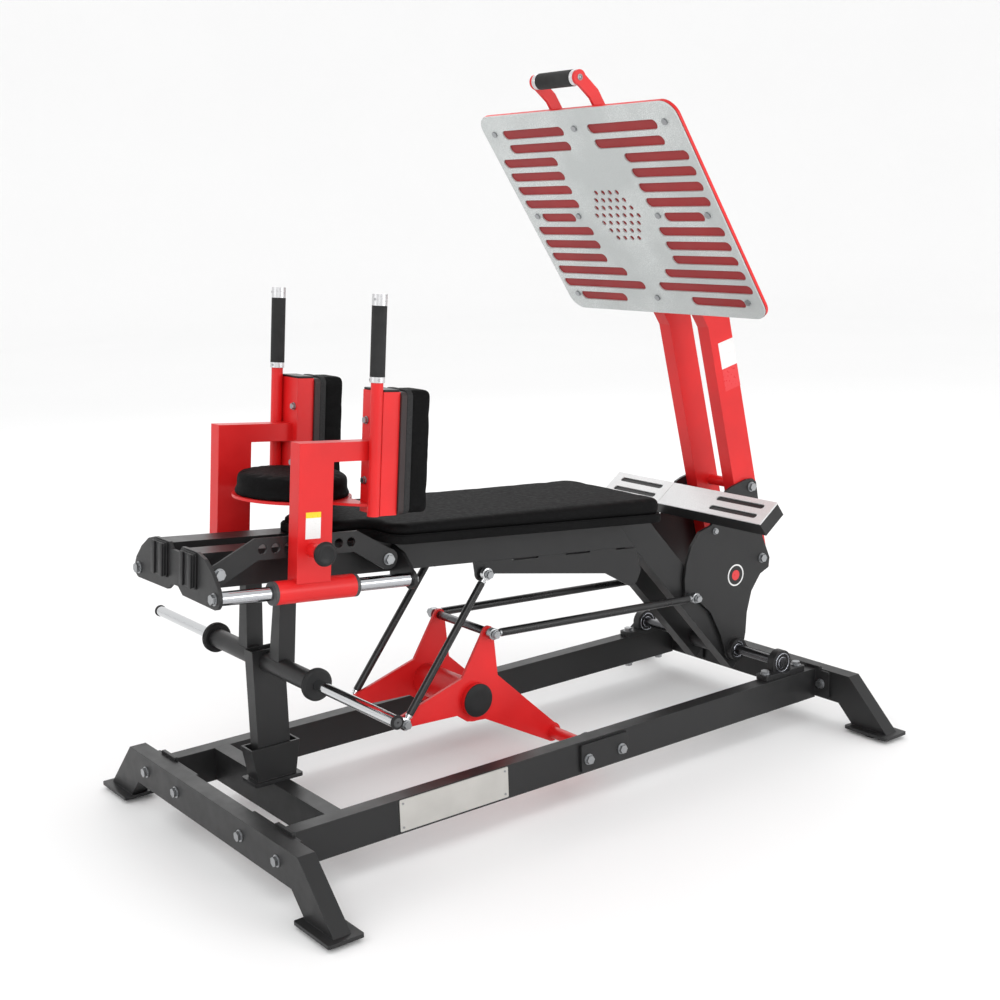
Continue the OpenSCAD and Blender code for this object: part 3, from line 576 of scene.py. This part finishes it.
def rounded_corners(corners, steps=8):
    """Outline through (x, y, radius) corners, each turned with an arc of its radius."""
    points = []
    for i, (x, y, radius) in enumerate(corners):
        here = Vector((x, y))
        back = (Vector(corners[i - 1][:2]) - here).normalized()
        ahead = (Vector(corners[(i + 1) % len(corners)][:2]) - here).normalized()
        half = back.angle(ahead) / 2
        middle = here + (back + ahead).normalized() * radius / math.sin(half)
        start = here + back * radius / math.tan(half) - middle
        end = here + ahead * radius / math.tan(half) - middle
        turn = start.angle_signed(end)
        for k in range(steps + 1):
            points.append(middle + Matrix.Rotation(-turn * k / steps, 2) @ start)
    return [(p.x, p.y) for p in points]


def mirrored_copy(data):
    """The same mesh on the other side of the middle plane."""
    copy = data.copy()
    copy.transform(Matrix.Scale(-1, 4, (0, 1, 0)))
    copy.flip_normals()
    return copy


def pad_piece(name, data, place, material, node, body):
    data.transform(place)
    obj = piece_from(name, data, material, body, (node,))
    return obj


# --- bench ---------------------------------------------------------------------------

def bench():
    """Wedge-shaped bench cushion with a neck, on a base covered in the same vinyl."""
    low, high = lever_box("bench_pad")
    board_low = lever_box("bench_board")[0].z
    shoulder = low.x + 133 * MM
    neck = 93 * MM
    foot_top = high.z
    head_top = low.z + 30 * MM

    def outline(inset):
        half = high.y - inset
        side = [(low.x + inset, neck - inset, 38 * MM), (shoulder + inset, neck - inset, 26 * MM),
                (shoulder + inset, half, 46 * MM), (high.x - inset, half, 42 * MM)]
        return rounded_corners([(x, -y, r) for x, y, r in side] + side[::-1])

    base_top = low.z + 9 * MM
    base = slab(outline(-2 * MM), board_low, base_top, 3.5 * MM, 4)
    piece_from("bench_base", moved(base, LEVER), VINYL, "bench_lever", ("bench_board",))

    def top_at(u):
        share = (u - low.x) / (high.x - low.x)
        return head_top + (foot_top - head_top) * share - 2.5 * MM

    form = slab(outline(4 * MM), base_top - 3 * MM, foot_top, 13 * MM, 5)
    for v in form.verts:
        share = (v.co.z - base_top + 3 * MM) / (foot_top - base_top + 3 * MM)
        if share > 0.5:
            v.co.z -= foot_top - top_at(v.co.x)
    data = make_pad(form, 6 * MM, 3.0, 2.2 * MM)
    pad_piece("bench_cushion", data, LEVER, VINYL, "bench_pad", "bench_lever")
    rim = [LEVER @ Vector((x, y, base_top + 0.4 * MM)) for x, y in outline(1.2 * MM)]
    piece_from("bench_welt", closed_cord(rim, 1.8 * MM), VINYL, "bench_lever")


bench()


# --- shoulder pads and head pad ------------------------------------------------------

def shoulder_pads():
    """Two upright pads: a thick black cushion behind a grey gusset band."""
    low, high = lever_box("shoulder_pads")
    inner = inner_y("shoulder_pads")
    middle = (inner + high.y) / 2
    height, width = high.z - low.z, high.y - inner
    # Flat frame: x up the pad, y across it, z away from the post
    stand = LEVER @ Matrix(((0, 0, 1, low.x), (0, 1, 0, -middle), (1, 0, 0, (low.z + high.z) / 2),
                            (0, 0, 0, 1)))
    band = 15 * MM
    gusset = slab(rounded_outline(height + 1 * MM, width + 1 * MM, 17 * MM), 0, band, 2 * MM, 3)
    gusset_data = bpy.data.meshes.new("gusset")
    bmesh.ops.transform(gusset, matrix=stand, verts=gusset.verts)
    gusset.to_mesh(gusset_data)
    gusset.free()
    form = slab(rounded_outline(height - 5 * MM, width - 5 * MM, 15 * MM), band - 2 * MM,
                high.x - low.x - 2 * MM, 8 * MM, 5)
    cushion = make_pad(form, 4 * MM, 3.0, 2.0 * MM)
    cushion.transform(stand)
    for side, turned in (("near", False), ("far", True)):
        shape = mirrored_copy(cushion) if turned else cushion.copy()
        pad_piece(side + "_shoulder_cushion", shape, Matrix.Identity(4), VINYL, "shoulder_pads",
                  "carriage")
        shape = mirrored_copy(gusset_data) if turned else gusset_data.copy()
        piece_from(side + "_shoulder_gusset", shape, PIPING, "carriage")


shoulder_pads()


def head_pad():
    """Round head cushion with a wide lip at its foot."""
    low, high = lever_box("head_pad")
    middle = LEVER @ Matrix.Translation(((low.x + high.x) / 2, 0, low.z))
    radius = high.y
    tall = high.z - low.z
    lip, crown = 11 * MM, 16 * MM
    arc = [math.radians(90 * i / 8) for i in range(9)]
    body_r = radius - 6 * MM
    profile = [(0, 0), (radius - 1 * MM, 0), (radius, 2 * MM), (radius, lip - 3 * MM),
               (radius - 3 * MM, lip), (body_r, lip)]
    rim_top = tall - 2 * MM
    profile += [(body_r - crown * (1 - math.cos(t)), rim_top - crown * (1 - math.sin(t))) for t in arc]
    profile += [(body_r * 0.55, tall - 1 * MM), (0, tall - 1 * MM)]
    data = make_pad(lathe(profile, 96), 4 * MM, 2.5, 1.6 * MM)
    pad_piece("head_cushion", data, middle, VINYL, "head_pad", "carriage")


head_pad()


# --- caps, plugs and grips -----------------------------------------------------------

def post_caps():
    """Plastic plugs in the open tops of the shoulder pad posts."""
    low, high = lever_box("pad_posts")
    inner = inner_y("pad_posts")
    length, width = high.x - low.x, high.y - inner
    for side in (-1, 1):
        cap = slab(rounded_outline(length - 0.6 * MM, width - 0.6 * MM, 3 * MM), 0, 5 * MM, 1.8 * MM, 3)
        place = LEVER @ Matrix.Translation(((low.x + high.x) / 2, side * (inner + high.y) / 2, high.z))
        name = side_name(side) + "_post_cap"
        piece_from(name, moved(cap, place), PLASTIC, "carriage")


post_caps()


def beam_caps():
    """End caps of the lever beams, each with two raised bands on its face."""
    face = lever_box("end_caps")[0].x
    beam_corner = lever_box("lever_beams")[1]
    inner, outer = inner_y("lever_beams"), beam_corner.y
    tall = 76 * MM
    middle_z = beam_corner.z - tall / 2
    wide = outer - inner
    edge = 1.2 * MM
    for side in (-1, 1):
        # Flat frame: x across the beam, y up, z out of the face
        stand = LEVER @ Matrix(((0, 0, -1, 0), (1, 0, 0, side * (inner + outer) / 2), (0, 1, 0, middle_z),
                                (0, 0, 0, 1)))
        parts = [slab(rounded_outline(wide, tall, 7 * MM), 0.0, 4 * MM, edge, 3),
                 slab(rounded_outline(wide - 8 * MM, tall - 6 * MM, 5 * MM), 3.5 * MM, 8.5 * MM, edge, 3)]
        for shift in (-0.28, 0.28):
            band = slab(rounded_outline(17 * MM, tall - 4 * MM, 3 * MM), 8 * MM, -face, edge, 2)
            parts.append(moved(band, Matrix.Translation((shift * wide, 0, 0))))
        name = side_name(side) + "_beam_cap"
        piece_from(name, moved(joined(parts), stand), PLASTIC, "bench_lever", ("end_caps",))


beam_caps()


def horn_plugs():
    """A black collar with a pale disc and a dimple in the end of each weight horn."""
    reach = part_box("weight_bar")[1].y
    ring_low, ring_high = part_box("stop_rings")
    x, z = (ring_low.x + ring_high.x) / 2, (ring_low.z + ring_high.z) / 2
    collar = in_mm((0, 0), (12.6, 0), (14.2, 1.0), (14.2, 5.4), (12.8, 7), (10.4, 7), (9.8, 5.6),
                   (0, 5.6))
    disc = in_mm((0, 5.0), (9.6, 5.0), (9.6, 6.2), (8.8, 6.8), (2.2, 6.8), (1.4, 5.6), (0, 5.6))
    for side in (-1, 1):
        name = side_name(side)
        place = along_y(x, side * reach, z, side)
        for part, profile, material, slot in (("_horn_plug", collar, RUBBER, "rubber_black"),
                                              ("_horn_disc", disc, GREY_PLASTIC, "plastic_grey")):
            piece_from(name + part, moved(lathe(profile), place), material, "bench_lever",
                       ("end_caps",))


horn_plugs()


def top_grip():
    """Foam grip over the foot plate, with turned collars and a button bolt at each end."""
    low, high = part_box("top_grip")
    x, z = (low.x + high.x) / 2, (low.z + high.z) / 2
    bracket = inner_y("grip_brackets")
    half = bracket - 12 * MM
    foam = lathe([(0, -half), (0.0175, -half), (0.0195, -half + 2 * MM), (0.0195, half - 2 * MM),
                  (0.0175, half), (0, half)])
    piece_from("top_grip_foam", moved(foam, along_y(x, 0, z)), FOAM, "rocker", ("top_grip",))
    collar = in_mm((0, 0), (18.0, 0), (18.8, 0.8), (18.8, 5.2), (17.2, 6.2), (17.2, 7.4), (18.6, 8.0),
                   (18.6, 11.4), (17.8, 12), (0, 12))
    button = in_mm((0, 0), (7.4, 0), (7.4, 1.6), (5.6, 1.8), (5.4, 3.2), (4.2, 4.6), (2.6, 5.2),
                   (2.4, 3.2), (0, 3.2))
    for side in (-1, 1):
        name = side_name(side)
        place = along_y(x, side * half, z, side)
        piece_from(name + "_grip_collar", moved(lathe(collar), place), BRUSHED, "rocker",
                   ("top_grip",))
        place = along_y(x, side * (bracket + 8 * MM), z, side)
        piece_from(name + "_grip_button", moved(lathe(button), place), ZINC, "rocker",
                   ("top_grip",))


top_grip()


def grip_screws():
    """Small set screws in the turned collars of the two carriage handles."""
    low, high = lever_box("handle_collars")
    tube_low, tube_high = lever_box("handle_tubes")
    u = (tube_low.x + tube_high.x) / 2
    y = tube_high.y - (tube_high.x - tube_low.x) / 2
    radius = (high.x - low.x) / 2
    screw = in_mm((0, -1), (2.6, -1), (2.6, 0.5), (2.2, 0.8), (1.5, 0.8), (1.3, -0.4), (0, -0.4))
    for side in (-1, 1):
        parts = []
        for w, turn in ((high.z - 11 * MM, 200), (low.z + 6 * MM, 250), (low.z + 6 * MM, 160)):
            angle = math.radians(turn) * -side
            out = Vector((math.cos(angle), math.sin(angle), 0))
            aim = out.to_track_quat("Z", "Y").to_matrix().to_4x4()
            place = Matrix.Translation(Vector((u, side * y, w)) + out * radius) @ aim
            parts.append(moved(lathe(screw, 20), LEVER @ place))
        name = side_name(side) + "_collar_screws"
        piece_from(name, joined(parts), ZINC, "carriage")


grip_screws()


def pull_knob():
    """Round pull knob with a dished face and a stepped neck."""
    low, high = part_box("pin_knob")
    x, z = (low.x + high.x) / 2, (low.z + high.z) / 2
    profile = in_mm((0, 0), (13, 0), (15, 1.5), (22, 2.2), (25.4, 4.2), (26.3, 7.5), (25.6, 10.8),
                    (23.4, 13.2), (20, 14.8), (17.4, 15.2), (15.6, 14.4), (13.5, 13.4), (8, 12.9),
                    (0, 12.8))
    place = along_y(x, high.y, z, -1)
    piece_from("pull_knob", moved(lathe(profile, 72), place), PLASTIC, "pull_pin", ("pin_knob",))


pull_knob()


# --- bearings ------------------------------------------------------------------------

def bearings(node, bore, body, prefix):
    """Ball bearings seen from outside: two steel races with a dark seal between them."""
    low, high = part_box(node)
    x, z = (low.x + high.x) / 2, (low.z + high.z) / 2
    outer = (high.x - low.x) / 2
    inner = inner_y(node)
    half = (high.y - inner) / 2
    race = 3.2 * MM
    step = 1.4 * MM

    def ring(r0, r1, h):
        chamfer = 0.7 * MM
        return lathe([(r0, -h + chamfer), (r0 + chamfer, -h), (r1 - chamfer, -h), (r1, -h + chamfer),
                      (r1, h - chamfer), (r1 - chamfer, h), (r0 + chamfer, h), (r0, h - chamfer)], 64, True)

    for side in (-1, 1):
        place = along_y(x, side * (inner + high.y) / 2, z, side)
        name = prefix + ("_near" if side < 0 else "_far")
        races = joined([ring(bore, bore + race, half), ring(outer - race, outer, half)])
        piece_from(name + "_races", moved(races, place), BEARING_STEEL, body, (node,))
        seal = ring(bore + race, outer - race, half - step)
        piece_from(name + "_seal", moved(seal, place), PLASTIC, body, (node,))


shaft_low, shaft_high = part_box("rear_shaft")
shaft_bore = (shaft_high.z - shaft_low.z) / 2 + 0.05 * MM
bearings("bearing_inserts", shaft_bore, "frame", "pillow_bearing")
bearings("rocker_bearings", shaft_bore, "rocker", "rocker_bearing")


# --- crank and rods ------------------------------------------------------------------

def crank():
    """Hub tube with its plastic caps, pivot tube and the dark cross shaft of the crank."""
    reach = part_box("crank_tubes")[1].y / MM
    pivot = Vector(joint("crank_swing")["pos_m"])
    top = Vector(joint("long_rod_pivot")["pos_m"])
    hub = pivot + Vector((-235, 0, 141)) * MM

    def turned(name, centre, profile, material, slot, side=1):
        solid = lathe(in_mm(*profile), 72, ring=profile[0][0] > 0)
        place = along_y(centre.x, 0, centre.z, side)
        piece_from(name, moved(solid, place), material, "crank", ("crank_tubes",))

    turned("crank_hub_tube", hub,
           [(36, -118), (39.4, -118), (40, -117.4), (40, 117.4), (39.4, 118), (36, 118)],
           RED_PAINT, "lever_red")
    for side in (-1, 1):
        turned(side_name(side) + "_hub_cap", hub,
               [(0, 112), (36, 112), (36, 118), (39.6, 118), (40.4, 118.8), (40.2, 120.6), (38.6, 121.8),
                (20, 122.6), (0, 122.8)], RUBBER, "rubber_black", side)
    turned("crank_pivot_tube", pivot, [(12, -reach), (14.4, -reach), (15, -reach + 0.6), (15, reach - 0.6),
                                       (14.4, reach), (12, reach)], RED_PAINT, "lever_red")
    turned("crank_cross_shaft", top, [(0, -97), (9.4, -97), (10, -96), (10, 96), (9.4, 97), (0, 97)],
           ROD_DARK, "frame_black")


crank()


def rod(name, a, b, y, tube_r, eye_r, eye_half, bright, node, body):
    """A push rod: black tube with chamfered ends, a neck and an eye with a liner at each end."""
    fitted_bore, open_bore = 5.05 * MM, 6.5 * MM
    a, b = Vector((a.x, y, a.z)), Vector((b.x, y, b.z))
    way = (b - a).normalized()
    length = (b - a).length
    lie = Matrix.Translation(a) @ way.to_track_quat("Z", "Y").to_matrix().to_4x4()
    gap = eye_r + 9 * MM
    tube = [(0, gap), (tube_r - 1.5 * MM, gap), (tube_r, gap + 1.5 * MM), (tube_r, length - gap - 1.5 * MM),
            (tube_r - 1.5 * MM, length - gap), (0, length - gap)]
    piece_from(name + "_tube", moved(lathe(tube, 40), lie), SEMI_BLACK, body, (node,))
    neck_r = 6.5 * MM
    nut_r = neck_r + 2.2 * MM
    stem = [(0, eye_r - 4 * MM), (neck_r, eye_r - 4 * MM), (neck_r, gap - 6 * MM),
            (nut_r, gap - 5.6 * MM), (nut_r, gap - 0.4 * MM), (neck_r, gap), (neck_r, gap + 1 * MM),
            (0, gap + 1 * MM)]
    parts = []
    for start, turn in ((0, 0), (length, 180)):
        flip = Matrix.Translation((0, 0, start)) @ Matrix.Rotation(math.radians(turn), 4, "X")
        parts.append(moved(lathe(stem, 24), lie @ flip))
    face, chamfer = eye_half - 1.4 * MM, 1.2 * MM
    for point, bore in ((a, fitted_bore), (b, open_bore)):
        liner = bore + 2.6 * MM
        eye = [(bore, -eye_half), (liner, -eye_half), (liner + 0.2 * MM, -face), (eye_r - 2.4 * MM, -face),
               (eye_r, -face + chamfer), (eye_r, face - chamfer), (eye_r - 2.4 * MM, face),
               (liner + 0.2 * MM, face), (liner, eye_half), (bore, eye_half)]
        parts.append(moved(lathe(eye, 48, True), along_y(point.x, y, point.z)))
    metal, slot = (CHROME, "chrome") if bright else (ZINC, "plated_steel")
    piece_from(name + "_eyes", joined(parts), metal, body, (node,))


def rods():
    """The two long and the two short rods, each from its pivot on the crank."""
    for node, pivot, tube_r, eye_r, eye_half, rises, bright in (
            ("long_rods", "long_rod_pivot", 10 * MM, 14 * MM, 9 * MM, False, False),
            ("short_rods", "short_rod_pivot", 9 * MM, 15 * MM, 8 * MM, True, True)):
        low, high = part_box(node)
        start = Vector(joint(pivot)["pos_m"])
        end = Vector((high.x - eye_r, 0, high.z - eye_r if rises else low.z + eye_r))
        y = high.y - max(tube_r, eye_half)
        for side in (-1, 1):
            name = ("near_" if side < 0 else "far_") + node[:-1]
            rod(name, start, end, side * y, tube_r, eye_r, eye_half, bright, node, node)


rods()


# --- blank labels --------------------------------------------------------------------

def labels():
    """Blank stickers where the machine carries its labels, with no lettering."""
    low, high = lever_box("carriage_uprights")
    face = -high.y
    out = (0, -1, 0)
    film = 0.25 * MM

    def on_upright(u0, w0, u1, w1):
        return [LEVER @ Vector((u, face, w)) for u, w in ((u0, w0), (u1, w0), (u1, w1), (u0, w1))]

    u, w = low.x + 18 * MM, 112 * MM
    wide, tall, head = 36 * MM, 56 * MM, 12 * MM
    flat_sticker(on_upright(u, w, u + wide, w + tall - head), film, out, "carriage",
                 "upright_label", WHITE_FILM)
    flat_sticker(on_upright(u, w + tall - head, u + wide, w + tall), film, out, "carriage",
                 "upright_label_head", YELLOW_FILM)

    shaft = Vector(joint("rocker_press")["pos_m"])
    arm_face = -92 * MM
    lean = math.radians(12.6)
    up = Vector((-math.sin(lean), 0, math.cos(lean)))
    across = Vector((math.cos(lean), 0, math.sin(lean)))
    middle = shaft + Vector((-13 * MM, arm_face, 778 * MM))

    def on_arm(x0, z0, x1, z1):
        return [middle + across * x * MM + up * z * MM
                for x, z in ((x0, z0), (x1, z0), (x1, z1), (x0, z1))]

    flat_sticker(on_arm(-28, -5, 28, 66), film, out, "rocker", "arm_label", WHITE_FILM)
    flat_sticker(on_arm(-28, -66, 28, -5), film, out, "rocker", "arm_label_foot", RED_FILM)

    rocker_face = 100 * MM
    for side in (-1, 1):
        name = side_name(side) + "_rocker_badge"
        place = along_y(shaft.x + 4 * MM, side * rocker_face, shaft.z + 205 * MM, side)
        rim = lathe(in_mm((26, 0), (30, 0), (30, 0.5), (26, 0.5)), 64, True)
        piece_from(name + "_rim", moved(rim, place), WHITE_FILM, "rocker")
        dot = lathe(in_mm((0, 0), (14, 0), (14, 0.5), (0, 0.5)), 48)
        piece_from(name + "_dot", moved(dot, place), RED_FILM, "rocker")


labels()


# --- stage, light and camera ---------------------------------------------------------

def studio():
    """Pale floor that curves up into a far round wall."""
    bend, radius, wall = 3.0, 13.0, 4.2
    arc = [(radius + bend * math.sin(t), bend - bend * math.cos(t))
           for t in (math.radians(90 * i / 12) for i in range(13))]
    floor = [(radius * k / 4, 0) for k in range(5)]
    bowl = lathe(floor + arc[1:] + [(radius + bend, wall)], 96)
    data = bpy.data.meshes.new("studio")
    bowl.to_mesh(data)
    bowl.free()
    data.flip_normals()
    data.shade_smooth()
    s = Shader("studio_floor", Roughness=0.85, Specular_IOR_Level=0.15)
    s.colour(s.mixed(s.noise(0.8, 2), (0.93, 0.93, 0.93), (0.95, 0.95, 0.95)))
    data.materials.append(s.material)
    floor = bpy.data.objects.new("studio_floor", data)
    scene.collection.objects.link(floor)


def softbox(name, place, aim, size, power):
    data = bpy.data.lights.new(name, "AREA")
    data.shape = "RECTANGLE"
    data.size, data.size_y = size
    data.energy = power
    lamp = bpy.data.objects.new(name, data)
    lamp.location = place
    lamp.rotation_euler = (Vector(aim) - Vector(place)).to_track_quat("-Z", "Y").to_euler()
    scene.collection.objects.link(lamp)


def lighting():
    world = bpy.data.worlds.new("studio_light")
    world.use_nodes = True
    sky = world.node_tree.nodes["Background"]
    sky.inputs["Color"].default_value = (1.0, 1.0, 1.0, 1)
    sky.inputs["Strength"].default_value = 1.03
    scene.world = world
    softbox("key", (-3.6, -4.6, 3.4), (0, 0, 0.7), (3.0, 2.2), 62)
    softbox("front_fill", (2.6, -5.2, 1.9), (0, 0, 0.7), (3.0, 2.0), 72)
    softbox("head_fill", (-5.0, 0.6, 1.8), (0, 0, 0.7), (2.6, 1.8), 12)
    softbox("back_rim", (2.4, 4.6, 3.6), (0, 0, 0.9), (3.0, 1.6), 40)


def camera():
    """Camera at the reference viewing angle, as place, yaw, pitch and roll."""
    place = Vector((-2.1555, -2.8654, 1.4272))
    yaw, pitch, roll = (math.radians(a) for a in (53.12, 11.735, -1.757))
    ahead = Vector((math.cos(yaw) * math.cos(pitch), math.sin(yaw) * math.cos(pitch), -math.sin(pitch)))
    right = Vector((math.sin(yaw), -math.cos(yaw), 0))
    above = right.cross(ahead)
    right, above = (right * math.cos(roll) + above * math.sin(roll),
                    above * math.cos(roll) - right * math.sin(roll))
    data = bpy.data.cameras.new("camera")
    data.lens = 53.992
    data.sensor_width = 36
    turn = Matrix((right, above, -ahead)).transposed().to_4x4()
    cam = bpy.data.objects.new("camera", data)
    cam.matrix_world = Matrix.Translation(place) @ turn
    scene.collection.objects.link(cam)
    scene.camera = cam


studio()
lighting()
camera()
scene.view_settings.view_transform = "Standard"
